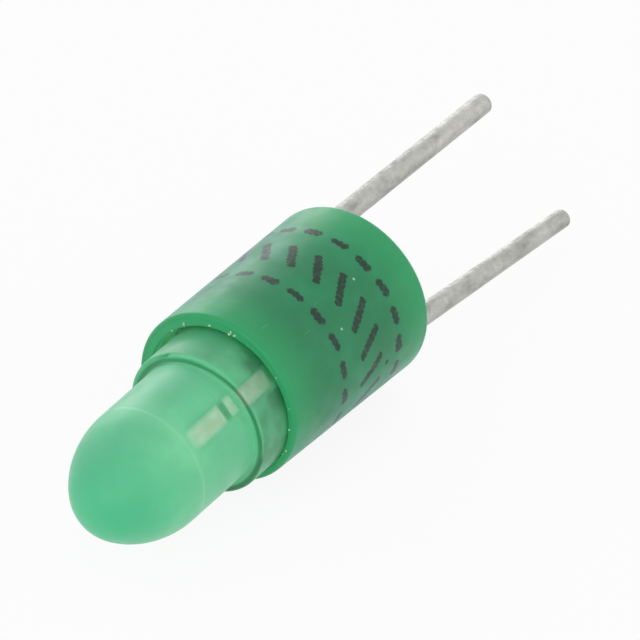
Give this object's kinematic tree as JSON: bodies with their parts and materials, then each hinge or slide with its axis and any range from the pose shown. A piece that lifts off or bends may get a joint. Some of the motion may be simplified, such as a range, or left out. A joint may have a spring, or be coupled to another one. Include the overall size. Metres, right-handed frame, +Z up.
{
  "type": "bi-pin led lamp",
  "caption": "Small indicator lamp: a domed diffused LED set in the front of a round moulded sleeve, with wire pins out of its back for a push-in socket.",
  "frame": {"origin": "centre of the seating face, the flat ring round the pins at the back of the sleeve", "axes": "+Y runs along the lamp's axis to the pins and -Y to the dome; +Z is up with the lamp lying on its side; +X completes the frame"},
  "size_m": [0.004, 0.0163, 0.004],
  "materials": {
    "housing": "satin moulded polyamide",
    "base_disc": "satin moulded polyamide",
    "pin": "dull hot-dipped tin",
    "lens": "tinted and diffused cast epoxy",
    "lead_frame": "silver-plated stamping",
    "led_chip": "cleaved crystal",
    "chip_glue": "silver-filled epoxy",
    "bond_wire": "drawn gold",
    "board": "glass-filled laminate with solder mask",
    "resistor": "black glaze over ceramic",
    "diode": "moulded epoxy",
    "end_cap": "tin plate",
    "solder": "bright solder",
    "potting": "cast epoxy"
  },
  "bodies": {
    "root": {"housing": "housing", "base_disc": "base_disc", "pin_anode": "pin", "pin_cathode": "pin", "led_lens": "lens", "anode_frame": "lead_frame", "cathode_frame": "lead_frame", "led_chip": "led_chip", "chip_glue": "chip_glue", "bond_wire": "bond_wire", "carrier_board": "board", "resistor_body": "resistor", "resistor_caps": "end_cap", "diode_body": "diode", "diode_caps": "end_cap", "solder_joints": "solder", "potting": "potting"}
  },
  "joints": []
}
